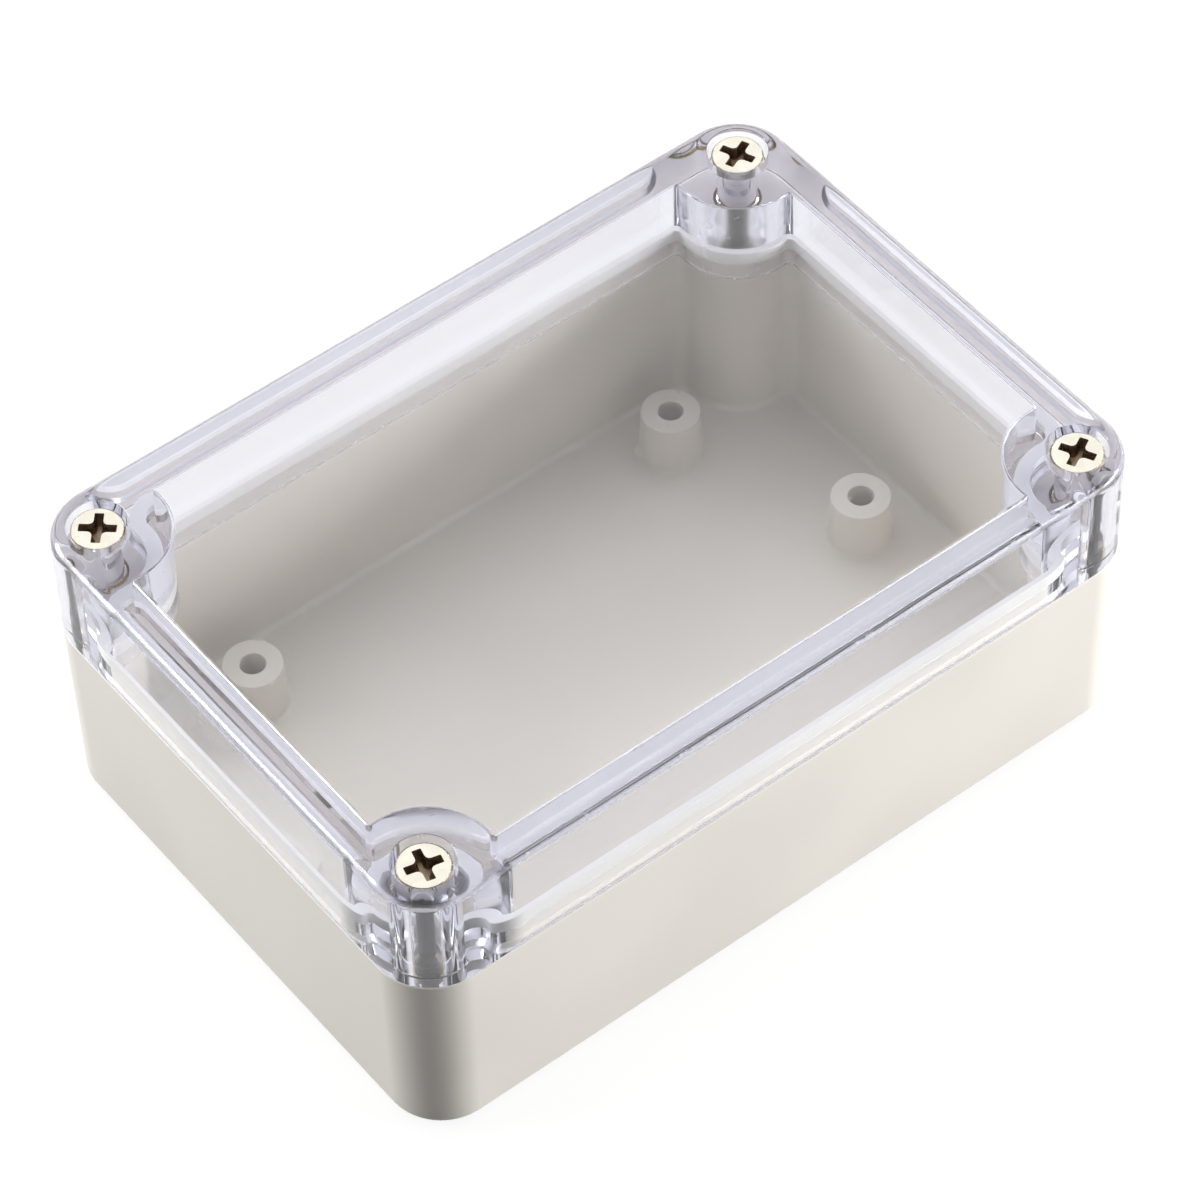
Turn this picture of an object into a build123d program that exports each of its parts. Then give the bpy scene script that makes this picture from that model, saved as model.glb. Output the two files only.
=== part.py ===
from build123d import *
import os

# A sealed electronics enclosure: a moulded tub, a clear lid on a tongue and groove seal,
# four corner screws and the brass inserts that they turn into. All sizes in millimetres,
# angles in degrees. The box stands on its flat underside, with the origin at the middle
# of the underside, +X along the long sides and +Z up.

# Outside of the closed box
length = 100.0
width = 69.7
base_height = 25.3
lid_height = 15.0
corner_radius = 7.0
draft_angle = 0.7
lid_edge_radius = 1.6
base_edge_radius = 1.2
parting_edge = 0.15

# Walls, and the seal between the two shells
floor_thickness = 2.9
plate_thickness = 2.0
skirt_thickness = 1.4
tongue_thickness = 1.4
tongue_height = 2.5
tongue_edge = 0.25
lip_thickness = 1.1
lip_rise = 0.7
lip_edge = 0.2
seal_gap = 0.15
groove_depth = 4.5
lead_in_width = 0.4
lead_in_height = 0.9
inner_corner_radius = 0.75
plate_fillet = 0.5
floor_fillet = 0.8

# Gasket
gasket_side_gap = 0.05
gasket_rest_gap = 0.1
gasket_edge = 0.3

# Corner screws
screw_inset = 5.7
corner_overlap = 0.65
head_diameter = 6.0
head_height = 2.2
head_recess = 0.6
head_edge = 0.3
counterbore_diameter = 7.0
shank_diameter = 3.9
shank_length = 20.0
point_chamfer = 0.5
lid_bore_diameter = 4.6
cross_span = 4.2
cross_width = 1.05
cross_inner_radius = 0.5
cross_depth = 1.5
cross_taper = 12.0
cross_turns = {"front": 75.5, "right": 27.5, "back": 23.7, "left": 48.6}

# Threaded inserts in the corner posts of the tub
insert_diameter = 5.6
insert_length = 7.0
insert_waist_depth = 0.4
insert_waist_length = 1.6
insert_chamfer = 0.3
insert_sink = 0.2
screw_running_gap = 0.05
drill_side_gap = 0.3
drill_below_insert = 3.0

# Board standoffs on the floor of the tub: two rows of two and one at each end
standoff_height = 6.6
standoff_diameter = 7.0
standoff_draft = 2.5
standoff_hole_diameter = 3.0
standoff_hole_depth = 5.5
standoff_row_length = 60.0
standoff_row_spread = 48.0
standoff_end_spacing = 77.6

# Sizes that follow from those above
total_height = base_height + lid_height
plate_underside = total_height - plate_thickness
tongue_inset = skirt_thickness + seal_gap
base_wall = tongue_inset + tongue_thickness
lip_inset = base_wall + seal_gap
lid_wall = lip_inset + lip_thickness
screw_spacing_x = length - 2 * screw_inset
screw_spacing_y = width - 2 * screw_inset
core_radius = screw_inset - skirt_thickness + corner_overlap
gasket_height = groove_depth - tongue_height - gasket_rest_gap
head_seat = total_height - head_recess - head_height
insert_top = base_height - insert_sink
insert_bore_diameter = shank_diameter + 2 * screw_running_gap
insert_pocket_depth = insert_sink + insert_length
standoff_top = floor_thickness + standoff_height

corner_signs = {"front": (-1, -1), "right": (1, -1), "back": (1, 1), "left": (-1, 1)}
screw_places = {
    corner: (sign_x * screw_spacing_x / 2, sign_y * screw_spacing_y / 2)
    for corner, (sign_x, sign_y) in corner_signs.items()
}


def seal_outline(inset):
    """Area inside the walls at one inset from the outer faces.

    The rounds about the four screws are left out of it, so outlines at different
    insets run parallel all the way, along the walls and in front of the screws.
    """
    round_radius = core_radius + inset - skirt_thickness
    blend_radius = inner_corner_radius + lid_wall - inset
    with BuildSketch() as outline:
        Rectangle(length - 2 * inset, width - 2 * inset)
        with GridLocations(screw_spacing_x, screw_spacing_y, 2, 2):
            Circle(round_radius, mode=Mode.SUBTRACT)
        with GridLocations(screw_spacing_x + screw_inset, screw_spacing_y + screw_inset, 2, 2):
            Rectangle(screw_inset, screw_inset, mode=Mode.SUBTRACT)
        fillet(outline.vertices(), blend_radius)
    return outline.sketch


def seal_ring(outer_inset, inner_inset):
    """Band between two parallel outlines: the plan of the tongue, groove and gasket."""
    with BuildSketch() as ring:
        add(seal_outline(outer_inset))
        add(seal_outline(inner_inset), mode=Mode.SUBTRACT)
    return ring.sketch


# The tub: walls and floor, corner posts, tongue and standoffs in one moulding
with BuildPart() as base:
    with BuildSketch(Plane.XY.offset(base_height)):
        RectangleRounded(length, width, corner_radius)
    extrude(amount=-base_height, taper=draft_angle)
    fillet(base.edges().group_by(Axis.Z)[0], base_edge_radius)
    chamfer(base.edges().group_by(Axis.Z)[-1], parting_edge)

    # Hollow, which leaves a post under each screw
    with BuildSketch(Plane.XY.offset(base_height)):
        add(seal_outline(base_wall))
    extrude(amount=floor_thickness - base_height, taper=draft_angle, mode=Mode.SUBTRACT)
    floor_face = base.faces().filter_by(Axis.Z).sort_by(Axis.Z)[1]
    fillet(floor_face.edges(), floor_fillet)

    # Tongue that stands up into the groove of the lid
    with BuildSketch(Plane.XY.offset(base_height)):
        add(seal_ring(tongue_inset, base_wall))
    extrude(amount=tongue_height)
    chamfer(base.edges().group_by(Axis.Z)[-1], tongue_edge)

    # Standoffs, a little wider at the foot, each with a hole for a board screw
    with BuildSketch(Plane.XY.offset(standoff_top)) as standoff_tops:
        with GridLocations(standoff_row_length, standoff_row_spread, 2, 2):
            Circle(standoff_diameter / 2)
        with GridLocations(standoff_end_spacing, 0, 2, 1):
            Circle(standoff_diameter / 2)
    extrude(amount=-standoff_height - floor_thickness / 2, taper=-standoff_draft)
    with BuildSketch(Plane.XY.offset(standoff_top)):
        with Locations(*[face.center() for face in standoff_tops.sketch.faces()]):
            Circle(standoff_hole_diameter / 2)
    extrude(amount=-standoff_hole_depth, mode=Mode.SUBTRACT)

    # Stepped holes down the corner posts, for the inserts and the points of the screws
    with Locations(*[(x, y, base_height) for x, y in screw_places.values()]):
        CounterBoreHole(
            shank_diameter / 2 + drill_side_gap,
            insert_diameter / 2,
            insert_pocket_depth,
            depth=insert_pocket_depth + drill_below_insert,
        )

base.part.label = "base"

# The clear lid: plate, walls and corner rounds in one moulding
with BuildPart() as lid:
    with BuildSketch(Plane.XY.offset(base_height)):
        RectangleRounded(length, width, corner_radius)
    extrude(amount=lid_height)
    fillet(lid.edges().group_by(Axis.Z)[-1], lid_edge_radius)
    chamfer(lid.edges().group_by(Axis.Z)[0], parting_edge)

    # Hollow
    with BuildSketch(Plane.XY.offset(base_height)):
        add(seal_outline(lid_wall))
    extrude(amount=plate_underside - base_height, taper=draft_angle, mode=Mode.SUBTRACT)
    underside_face = lid.faces().filter_by(Axis.Z).sort_by(Axis.Z)[-2]
    fillet(underside_face.edges(), plate_fillet)

    # Inside the skirt the lip stops short of the parting plane
    with BuildSketch(Plane.XY.offset(base_height)):
        add(seal_outline(skirt_thickness))
    extrude(amount=lip_rise, mode=Mode.SUBTRACT)
    lip_face = lid.faces().filter_by(Axis.Z).sort_by(Axis.Z)[1]
    chamfer(lip_face.inner_wires().edges(), lip_edge)

    # Groove for the tongue and the gasket, opened out at its mouth
    with BuildSketch(Plane.XY.offset(base_height)):
        add(seal_ring(skirt_thickness, lip_inset))
    extrude(amount=groove_depth, mode=Mode.SUBTRACT)
    skirt_face = lid.faces().filter_by(Axis.Z).sort_by(Axis.Z)[0]
    mouth_wire = skirt_face.inner_wires().sort_by(SortBy.LENGTH)[-1]
    chamfer(mouth_wire.edges(), lead_in_width, lead_in_height, reference=skirt_face)

    # Stepped holes for the screws
    with Locations(*[(x, y, total_height) for x, y in screw_places.values()]):
        CounterBoreHole(lid_bore_diameter / 2, counterbore_diameter / 2, head_recess + head_height)

lid.part.label = "lid"

# The gasket: one ring in the top of the groove, just clear of the tongue
with BuildPart() as gasket:
    with BuildSketch(Plane.XY.offset(base_height + groove_depth)):
        add(seal_ring(skirt_thickness + gasket_side_gap, lip_inset - gasket_side_gap))
    extrude(amount=-gasket_height)
    fillet(gasket.edges().group_by(Axis.Z)[0], gasket_edge)

gasket.part.label = "gasket"

os.makedirs("parts", exist_ok=True)
export_step(base.part, "parts/base.step")
export_step(lid.part, "parts/lid.step")
export_step(gasket.part, "parts/gasket.step")

# The screws: flat head with a cross recess, shank and chamfered point
for corner, (x, y) in screw_places.items():
    with BuildPart() as screw:
        with BuildSketch(Plane((x, y, head_seat))):
            Circle(head_diameter / 2)
        extrude(amount=head_height)
        fillet(screw.edges().group_by(Axis.Z)[-1], head_edge)
        with BuildSketch(Plane((x, y, head_seat))):
            Circle(shank_diameter / 2)
        extrude(amount=-shank_length)
        chamfer(screw.edges().group_by(Axis.Z)[0], point_chamfer)
        with BuildSketch(Plane((x, y, head_seat + head_height))) as cross:
            Rectangle(cross_span, cross_width, rotation=cross_turns[corner])
            Rectangle(cross_width, cross_span, rotation=cross_turns[corner])
            fillet(cross.vertices().group_by(SortBy.DISTANCE)[0], cross_inner_radius)
        extrude(amount=-cross_depth, taper=cross_taper, mode=Mode.SUBTRACT)
    screw.part.label = "screw_" + corner
    export_step(screw.part, "parts/" + screw.part.label + ".step")

# The inserts: turned brass, with a waist that the plastic of the post closes round
for corner, (x, y) in screw_places.items():
    with BuildPart() as insert:
        with BuildSketch(Plane((x, y, insert_top))):
            Circle(insert_diameter / 2)
        extrude(amount=-insert_length)
        chamfer(insert.edges().group_by(Axis.Z)[0], insert_chamfer)
        with BuildSketch(Plane((x, y, insert_top - insert_length / 2))):
            Circle(insert_diameter / 2)
            Circle(insert_diameter / 2 - insert_waist_depth, mode=Mode.SUBTRACT)
        extrude(amount=insert_waist_length / 2, both=True, mode=Mode.SUBTRACT)
        with BuildSketch(Plane((x, y, insert_top))):
            Circle(insert_bore_diameter / 2)
        extrude(amount=-insert_length, mode=Mode.SUBTRACT)
    insert.part.label = "insert_" + corner
    export_step(insert.part, "parts/" + insert.part.label + ".step")
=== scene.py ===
"""Finished meshes, finishes and studio of a clear-lidded junction box.

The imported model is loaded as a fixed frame. Every piece of it is then made again here as a
smooth surface, worked out as whole arrays: a profile carried along an outline in plan, a
profile turned about an axis, or a radius given as a function of angle and height. All sizes
are in millimetres in the model's own frame (origin at the middle of the underside, +X along
the long sides, +Z up) and go to metres where a mesh is made.
"""

import logging
import math
from dataclasses import dataclass, field
from enum import Enum, IntEnum
from typing import Any, Optional, Protocol, Sequence

import bpy
import numpy as np
from mathutils import Matrix, Vector
from mathutils.geometry import delaunay_2d_cdt


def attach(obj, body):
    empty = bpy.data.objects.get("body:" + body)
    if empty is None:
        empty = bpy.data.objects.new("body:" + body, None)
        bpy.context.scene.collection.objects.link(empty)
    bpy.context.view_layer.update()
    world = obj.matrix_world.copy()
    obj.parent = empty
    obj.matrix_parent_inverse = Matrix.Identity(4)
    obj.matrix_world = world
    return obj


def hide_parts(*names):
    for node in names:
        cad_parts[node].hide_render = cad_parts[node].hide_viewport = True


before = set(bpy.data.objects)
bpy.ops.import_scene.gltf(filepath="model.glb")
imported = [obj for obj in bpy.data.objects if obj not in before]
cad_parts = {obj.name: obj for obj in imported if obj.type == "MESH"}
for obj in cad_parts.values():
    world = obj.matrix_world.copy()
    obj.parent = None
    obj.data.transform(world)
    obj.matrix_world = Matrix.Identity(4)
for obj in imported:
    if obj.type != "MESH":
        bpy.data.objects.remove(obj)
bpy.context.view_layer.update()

log = logging.getLogger("junction_box")
MILLIMETRE = 0.001
FULL_TURN = 2 * math.pi
WHITE = (1.0, 1.0, 1.0, 1.0)
# Ranges of a noise's value that a finish is spread over
NOISE_WIDE = (0.3, 0.7)
NOISE_NARROW = (0.35, 0.65)
# Rows of points in one turn of a thread
ROWS_A_TURN = 8


class Corner(Enum):
    """The four corners of the box, with the signs of their X and Y."""

    FRONT = ("front", -1, -1)
    RIGHT = ("right", 1, -1)
    BACK = ("back", 1, 1)
    LEFT = ("left", -1, 1)

    @property
    def label(self) -> str:
        """The word that the node names end with."""
        return self.value[0]

    @property
    def signs(self) -> np.ndarray:
        """The signs of X and Y at this corner."""
        return np.array(self.value[1:], float)


class Slot(Enum):
    """Material slots of the record."""

    TUB = "tub_plastic"
    CLEAR = "clear_plastic"
    GASKET = "gasket_rubber"
    STEEL = "plated_steel"
    BRASS = "insert_brass"


class ScrewPart(IntEnum):
    """Finishes of a screw, in the order of its materials: the plated head, then painted shade on the
    recess and on a ring at the head's rim, then painted shade on the shank and thread.
    """

    HEAD = 0
    PAINTED_SHADE = 1
    PAINTED_SHANK_SHADE = 2


# ---- geometry ----


@dataclass
class Patch:
    """One smooth surface: points, a unit normal at each point, and its faces.

    A face has four point numbers. In a triangle the last one is repeated.
    """

    points: np.ndarray
    normals: np.ndarray
    faces: np.ndarray
    finish: int = 0

    def turned_out(self) -> "Patch":
        """Turns each face so that its own normal agrees with the normals at its points.

        Returns:
            The same patch, its faces in the right sense.
        """
        corner = self.points[self.faces]
        across = corner[:, 2] - corner[:, 0]
        along = corner[:, 3] - corner[:, 1]
        facing = np.einsum("ij,ij->i", np.cross(across, along), self.normals[self.faces].sum(axis=1))
        self.faces = np.where(facing[:, None] < 0, self.faces[:, ::-1], self.faces)
        return self

    def dressed(self, finish: int) -> "Patch":
        """Sets which of the piece's materials the patch takes, and returns the patch."""
        self.finish = finish
        return self


@dataclass
class Outline:
    """Closed line in plan, run anticlockwise, with the unit normal into its area at each point."""

    points: np.ndarray
    inward: np.ndarray

    def at(self, inset: float) -> np.ndarray:
        """The parallel line at a distance inside this one."""
        return self.points + self.inward * inset


@dataclass
class Profile:
    """Open line in a section, with the unit normal to its left at each point.

    The first coordinate runs across (an inset, or a radius) and the second one upwards. The
    material lies to the right of the travel, so the normals point out of it.
    """

    points: np.ndarray
    normals: np.ndarray


def arc(centre: Sequence[float], start: float, turn: float, steps: int) -> tuple[np.ndarray, np.ndarray]:
    """Directions (cos a, sin a) for angles a in even steps from start to start + turn.

    Args:
        centre: Middle of the arc.
        start: First angle, radians.
        turn: Angle turned through, radians.
        steps: Number of steps.

    Returns:
        The centre repeated for each direction, and the directions.
    """
    angles = start + turn * np.linspace(0.0, 1.0, steps + 1)
    directions = np.stack([np.cos(angles), np.sin(angles)], axis=1)
    return np.broadcast_to(np.asarray(centre, float), directions.shape), directions


def rounded_rectangle(length: float, width: float, radius: float, steps: int) -> Outline:
    """Rectangle with round corners: each corner point is its arc's centre plus radius times a direction.

    Args:
        length: Size along X.
        width: Size along Y.
        radius: Corner radius.
        steps: Steps in each corner.

    Returns:
        The outline.
    """
    centres, directions = [], []
    for quarter, signs in enumerate(((1, 1), (-1, 1), (-1, -1), (1, -1))):
        centre = np.array(signs) * (length / 2 - radius, width / 2 - radius)
        middle, direction = arc(centre, quarter * math.pi / 2, math.pi / 2, steps)
        centres.append(middle)
        directions.append(direction)
    outward = np.concatenate(directions)
    return Outline(np.concatenate(centres) + radius * outward, -outward)


def circle(centre: Sequence[float], radius: float, steps: int) -> np.ndarray:
    """Points centre + radius * (cos a, sin a) in even steps of a all the way round."""
    angles = FULL_TURN * np.arange(steps) / steps
    return np.asarray(centre, float) + radius * np.stack([np.cos(angles), np.sin(angles)], axis=1)


def rounded_profile(corners: Sequence[tuple[float, float, float]], steps: int = 4) -> Profile:
    """Straight runs through the given corners, joined by arcs tangent to both runs.

    At a corner of turn t and radius r the arc starts r * tan(t / 2) before the corner. The
    normal turns from one run's to the next with the arc, so a radius of zero is a sharp edge
    with both normals at the one place.

    Args:
        corners: Across, up and corner radius of each corner, in the order of travel.
        steps: Steps in each arc.

    Returns:
        The profile.
    """
    nodes = np.array([corner[:2] for corner in corners], float)
    runs = np.diff(nodes, axis=0)
    runs /= np.linalg.norm(runs, axis=1, keepdims=True)
    left = np.stack([-runs[:, 1], runs[:, 0]], axis=1)
    points, normals = [nodes[:1]], [left[:1]]
    for k in range(1, len(nodes) - 1):
        before, after, radius = runs[k - 1], runs[k], corners[k][2]
        turn = math.atan2(before[0] * after[1] - before[1] * after[0], before @ after)
        angles = turn * np.linspace(0.0, 1.0, steps + 1)
        cosine, sine = np.cos(angles)[:, None], np.sin(angles)[:, None]
        normal = left[k - 1] * cosine - before * sine
        side = math.copysign(1.0, turn)
        middle = nodes[k] - before * radius * math.tan(abs(turn) / 2) + left[k - 1] * radius * side
        points.append(middle - side * radius * normal)
        normals.append(normal)
    points.append(nodes[-1:])
    normals.append(left[-1:])
    return Profile(np.concatenate(points), np.concatenate(normals))


def surface_normals(points: np.ndarray) -> np.ndarray:
    """Unit normals of a grid of points that closes on itself along its columns.

    The normal is the cross product of the two central differences, along a row with wrap
    and down a column without.

    Args:
        points: Grid of points, rows by columns by three.

    Returns:
        Unit normals, of the same shape.
    """
    around = np.roll(points, -1, axis=1) - np.roll(points, 1, axis=1)
    down = np.gradient(points, axis=0)
    normals = np.cross(down, around)
    shortest = 1e-12
    return normals / np.maximum(np.linalg.norm(normals, axis=2, keepdims=True), shortest)


def grid(points: np.ndarray, normals: np.ndarray) -> Patch:
    """Faces between neighbours of a grid whose columns close on themselves.

    Args:
        points: Rows by columns by three.
        normals: Unit normals, of the same shape.

    Returns:
        The patch.
    """
    rows, columns = points.shape[:2]
    number = np.arange(rows * columns).reshape(rows, columns)
    beside = np.roll(number, -1, axis=1)
    faces = np.stack([number[:-1], beside[:-1], beside[1:], number[1:]], axis=-1).reshape(-1, 4)
    return Patch(points.reshape(-1, 3), normals.reshape(-1, 3), faces).turned_out()


def sweep(outline: Outline, profile: Profile) -> Patch:
    """Profile carried along an outline.

    A point is the outline's point plus the profile's inset times the inward normal, at the
    profile's height. Its normal is the profile's normal in the same two directions.

    Args:
        outline: The path in plan.
        profile: Insets and heights.

    Returns:
        The swept surface.
    """
    def carried(start: Any, part: np.ndarray) -> np.ndarray:
        """The profile's first coordinate along each inward normal, its second one upwards."""
        across = start + part[:, 0, None, None] * outline.inward
        up = np.broadcast_to(part[:, 1, None, None], across.shape[:2] + (1,))
        return np.concatenate([across, up], axis=2)

    return grid(carried(outline.points, profile.points), carried(0.0, profile.normals))


def revolve(centre: Sequence[float], profile: Profile, steps: int) -> Patch:
    """Profile of radii and heights turned about an upright axis: a sweep from the axis itself.

    Args:
        centre: X and Y of the axis.
        profile: Radii and heights.
        steps: Steps all the way round.

    Returns:
        The surface of revolution.
    """
    ways = circle((0.0, 0.0), 1.0, steps)
    return sweep(Outline(np.broadcast_to(np.asarray(centre, float), ways.shape), ways), profile)


def rows_and_turns(top: float, bottom: float, rows: int, steps: int) -> tuple[np.ndarray, np.ndarray]:
    """Heights from top to bottom as a column, and turns from 0 up to 1 as a row, in even steps."""
    return np.linspace(top, bottom, rows + 1)[:, None], (np.arange(steps) / steps)[None, :]


def triangle_wave(turns: np.ndarray) -> np.ndarray:
    """Wave |2 (t mod 1) - 1|, which is 1 at whole turns and 0 halfway between them."""
    return np.abs(2 * (turns % 1.0) - 1)


def about_axis(centre: Sequence[float], radius: np.ndarray, height: np.ndarray, around: np.ndarray,
               sense: int = 1) -> tuple[np.ndarray, Patch]:
    """Surface about an upright axis: centre + radius * (cos, sin) of the turn, at each height.

    Args:
        centre: X and Y of the axis.
        radius: Radius at each height and turn.
        height: Heights, as a column.
        around: Turns from 0 to 1, as a row.
        sense: 1 where the surface faces away from the axis, -1 where it faces the axis.

    Returns:
        Its points, rows by columns by three, and the surface.
    """
    angle = FULL_TURN * around
    points = np.stack([
        centre[0] + radius * np.cos(angle),
        centre[1] + radius * np.sin(angle),
        np.broadcast_to(height, radius.shape),
    ], axis=2)
    normals = surface_normals(points)
    away = (normals[..., :2] * (points[..., :2] - np.asarray(centre))).sum() > 0
    return points, grid(points, normals * sense * (1 if away else -1))


def level(height: float, facing: int, edge: np.ndarray, holes: Sequence[np.ndarray] = ()) -> Patch:
    """Flat face at one height inside a closed edge, less its holes.

    Args:
        height: Height of the face.
        facing: 1 where it faces up, -1 where it faces down.
        edge: Points of its edge in plan.
        holes: Points of each hole's edge.

    Returns:
        The triangulated face.
    """
    loops = [edge, *holes]
    plan = np.concatenate(loops)
    first = np.cumsum([0] + [len(loop) for loop in loops])
    rings = [list(range(first[k], first[k + 1])) for k in range(len(loops))]
    inside_with_holes, same_place = 2, 1e-7
    _, _, faces, sources, *_ = delaunay_2d_cdt(
        [Vector(p) for p in plan.tolist()], [], rings, inside_with_holes, same_place
    )
    triangles = np.array([source[0] for source in sources])[np.array(faces)]
    points = np.column_stack([plan, np.full(len(plan), height)])
    normals = np.broadcast_to((0.0, 0.0, float(facing)), points.shape)
    return Patch(points, normals, triangles[:, [0, 1, 2, 2]]).turned_out()


def make_piece(
    name: str, patches: Sequence[Patch], materials: Sequence[bpy.types.Material]
) -> bpy.types.Object:
    """Joins patches into one closed mesh object that keeps the patches' own normals.

    Points within a ten-thousandth of a millimetre are merged. A face that loses a point to
    that becomes a triangle, or goes.

    Args:
        name: Name of the piece.
        patches: Its surfaces, in millimetres.
        materials: Its materials, in the order of the patches' finish numbers.

    Returns:
        The object, linked to the scene.
    """
    starts = np.cumsum([0] + [len(patch.points) for patch in patches])
    points = np.concatenate([patch.points for patch in patches])
    normals = np.concatenate([patch.normals for patch in patches])
    faces = np.concatenate([patch.faces + start for patch, start in zip(patches, starts)])
    finishes = np.concatenate([np.full(len(patch.faces), patch.finish) for patch in patches])

    merge_step = 1e-4
    _, first, merged = np.unique(
        np.round(points / merge_step).astype(np.int64), axis=0, return_index=True, return_inverse=True
    )
    corners = merged.reshape(-1)[faces]
    kept = corners != np.roll(corners, -1, axis=1)
    whole = kept.sum(axis=1) > 2
    kept &= whole[:, None]
    counts = kept.sum(axis=1)[whole]

    mesh = bpy.data.meshes.new(name)
    mesh.vertices.add(len(first))
    mesh.vertices.foreach_set("co", (points[first] * MILLIMETRE).ravel())
    mesh.loops.add(int(counts.sum()))
    mesh.loops.foreach_set("vertex_index", corners[kept].astype(np.int32))
    mesh.polygons.add(len(counts))
    mesh.polygons.foreach_set("loop_start", (np.cumsum(counts) - counts).astype(np.int32))
    mesh.polygons.foreach_set("material_index", finishes[whole].astype(np.int32))
    mesh.polygons.foreach_set("use_smooth", np.ones(len(counts), bool))
    mesh.update(calc_edges=True)
    mesh.normals_split_custom_set(normals[faces][kept].tolist())
    for material in materials:
        mesh.materials.append(material)
    piece = bpy.data.objects.new(name, mesh)
    bpy.context.collection.objects.link(piece)

    after = np.concatenate([np.roll(row, -1) for row in np.split(corners[kept], np.cumsum(counts)[:-1])])
    forward = corners[kept].astype(np.int64) * len(first) + after
    backward = after.astype(np.int64) * len(first) + corners[kept]
    open_edges = int((~np.isin(forward, backward)).sum()) + len(forward) - len(np.unique(forward))
    log.info("%s: %d faces, %d open edges", name, len(counts), open_edges)
    return piece


# ---- materials ----


class Sheet:
    """A node tree that nodes are laid out on, from left to right."""

    SPACING = 180.0

    def __init__(self, tree: bpy.types.NodeTree) -> None:
        """Starts an empty sheet on a tree.

        Args:
            tree: The tree, which loses the nodes that it has.
        """
        self.tree = tree
        tree.nodes.clear()

    def add(self, kind: str, values: Optional[dict[Any, Any]] = None, **settings: Any) -> bpy.types.Node:
        """Adds one node.

        Args:
            kind: Blender's name for the kind of node.
            values: Value, or output to link, for each input by name or number.
            settings: The node's own settings.

        Returns:
            The node.
        """
        node = self.tree.nodes.new(kind)
        node.location = (self.SPACING * len(self.tree.nodes), 0.0)
        for name, value in settings.items():
            setattr(node, name, value)
        for key, value in (values or {}).items():
            if isinstance(value, bpy.types.NodeSocket):
                self.tree.links.new(value, node.inputs[key])
            else:
                node.inputs[key].default_value = value
        return node

    def math(self, operation: str, *values: Any) -> bpy.types.NodeSocket:
        """Output of a Math node on one, two or three values."""
        return self.add("ShaderNodeMath", dict(enumerate(values)), operation=operation).outputs[0]

    def vector(self, operation: str, *values: Any) -> bpy.types.NodeSocket:
        """Output of a Vector Math node: a number for a length or a dot product, else a vector."""
        node = self.add("ShaderNodeVectorMath", dict(enumerate(values)), operation=operation)
        return node.outputs["Value" if operation in ("LENGTH", "DOT_PRODUCT") else "Vector"]

    def noise(self, place: Any, scale: Any, detail: float, roughness: float = 0.5) -> bpy.types.Node:
        """Noise node, with one number at Fac and three at Color."""
        return self.add("ShaderNodeTexNoise", {
            "Vector": place, "Scale": scale, "Detail": detail, "Roughness": roughness,
        })

    def bump(self, height: Any, distance: float) -> bpy.types.NodeSocket:
        """Normal of a surface raised by a height from 0 to 1 times a distance in metres."""
        return self.add("ShaderNodeBump", {
            "Height": height, "Distance": distance, "Strength": 1.0,
        }).outputs[0]

    def blend(self, share: Any, low: Any, high: Any) -> bpy.types.NodeSocket:
        """Colour between two colours, by a share from 0 to 1. Sockets 6, 7 and 2 are the colour ones."""
        node = self.add("ShaderNodeMix", {0: share, 6: low, 7: high}, data_type="RGBA")
        return node.outputs[2]

    def ramp(self, value: Any, low: float, high: float, start: float, end: float) -> bpy.types.NodeSocket:
        """Value moved smoothly from the range low to high to the range start to end, and held in it."""
        return self.add("ShaderNodeMapRange", {
            "Value": value, "From Min": low, "From Max": high, "To Min": start, "To Max": end,
        }, interpolation_type="SMOOTHSTEP").outputs["Result"]

    def group(self, tree: bpy.types.NodeTree, values: dict[Any, Any]) -> Any:
        """Outputs of a shader node group used on the given inputs."""
        return self.add("ShaderNodeGroup", values, node_tree=tree).outputs

    def place(self) -> bpy.types.NodeSocket:
        """Object coordinates, in metres in the model's frame."""
        return self.add("ShaderNodeTexCoord").outputs["Object"]

    def seen_ray(self) -> bpy.types.NodeSocket:
        """Mask of the rays that show the camera what they hit, straight, mirrored or bent.

        Returns:
            The mask, 0 or 1.
        """
        path = self.add("ShaderNodeLightPath").outputs
        straight = self.math("MAXIMUM", path["Is Camera Ray"], path["Is Transmission Ray"])
        return self.math("MAXIMUM", straight, path["Is Glossy Ray"])

    def from_axis(self, place: bpy.types.NodeSocket, axis: tuple[float, float]) -> bpy.types.NodeSocket:
        """Offset in plan from the nearest screw's axis, with the box folded into one quarter.

        Args:
            place: Object coordinates.
            axis: X and Y of the axis in that quarter, in millimetres.

        Returns:
            The offset, as a vector with no height.
        """
        middle = (axis[0] * MILLIMETRE, axis[1] * MILLIMETRE, 0.0)
        offset = self.vector("SUBTRACT", self.vector("ABSOLUTE", place), middle)
        return self.vector("MULTIPLY", offset, (1.0, 1.0, 0.0))


def new_group(
    name: str, inputs: dict[str, float], outputs: Sequence[str]
) -> tuple[bpy.types.NodeTree, Sheet]:
    """Starts a shader node group with a Vector input, numbers in, and numbers out.

    Args:
        name: Name of the group.
        inputs: Default of each number that goes in.
        outputs: Names of the numbers that come out.

    Returns:
        The group and its sheet.
    """
    group = bpy.data.node_groups.new(name, "ShaderNodeTree")
    group.interface.new_socket("Vector", in_out="INPUT", socket_type="NodeSocketVector")
    for label, value in inputs.items():
        socket = group.interface.new_socket(label, in_out="INPUT", socket_type="NodeSocketFloat")
        socket.default_value = value
    for label in outputs:
        group.interface.new_socket(label, in_out="OUTPUT", socket_type="NodeSocketFloat")
    return group, Sheet(group)


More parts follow.
